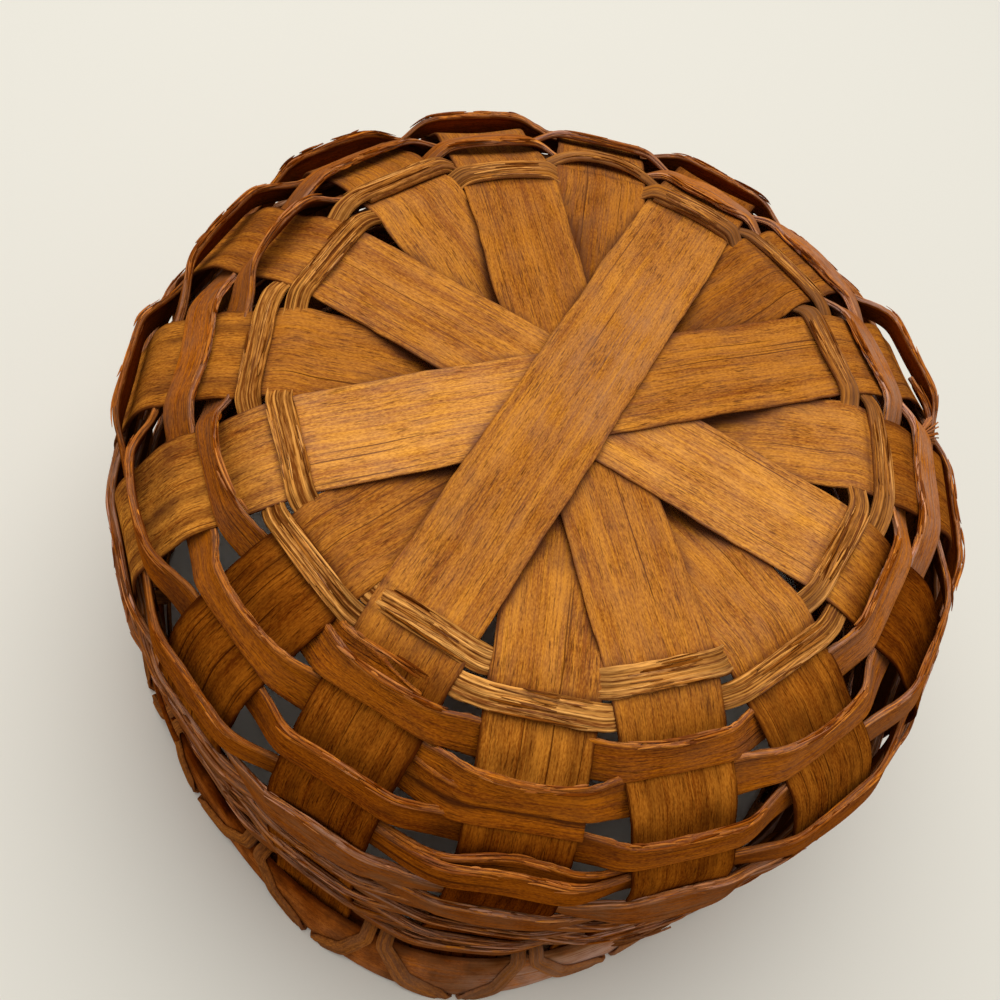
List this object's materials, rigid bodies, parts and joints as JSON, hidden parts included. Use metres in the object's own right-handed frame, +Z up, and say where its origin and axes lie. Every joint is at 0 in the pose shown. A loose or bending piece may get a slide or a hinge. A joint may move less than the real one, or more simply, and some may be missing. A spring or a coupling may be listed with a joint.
{
  "type": "woven splint basket",
  "caption": "Round woven wood basket with wide crossed base splints, plain-woven splint walls and a cross-lashed rim, standing on its mouth.",
  "frame": {"origin": "centre of the mouth, at the underside of the rim lashing", "axes": "+Z up from the mouth to the base along the axis, as pictured (the basket stands on its mouth); +Y along the outermost base splint, away from the camera; +X to the right"},
  "size_m": [0.2472, 0.2472, 0.133],
  "materials": {
    "stake_splint": "oiled, worn smooth",
    "rough_weaver": "rough, fibrous",
    "smooth_weaver": "satin, stained",
    "rim_hoop": "satin, stained",
    "rim_lashing": "satin"
  },
  "bodies": {
    "root": {"splint_outer_1": "stake_splint", "splint_outer_2": "stake_splint", "splint_outer_3": "stake_splint", "splint_outer_4": "stake_splint", "splint_inner_1": "stake_splint", "splint_inner_2": "stake_splint", "splint_inner_3": "stake_splint", "splint_inner_4": "stake_splint", "base_row_1": "rough_weaver", "base_row_2": "rough_weaver", "wall_row_01": "smooth_weaver", "wall_row_02": "smooth_weaver", "wall_row_03": "smooth_weaver", "wall_row_04": "smooth_weaver", "wall_row_05": "smooth_weaver", "wall_row_06": "smooth_weaver", "wall_row_07": "smooth_weaver", "wall_row_08": "smooth_weaver", "wall_row_09": "smooth_weaver", "wall_row_10": "smooth_weaver", "wall_row_11": "smooth_weaver", "wall_row_12": "smooth_weaver", "rim_hoop_outer": "rim_hoop", "rim_hoop_inner": "rim_hoop", "rim_lashing_forward": "rim_lashing", "rim_lashing_back": "rim_lashing"}
  },
  "joints": []
}
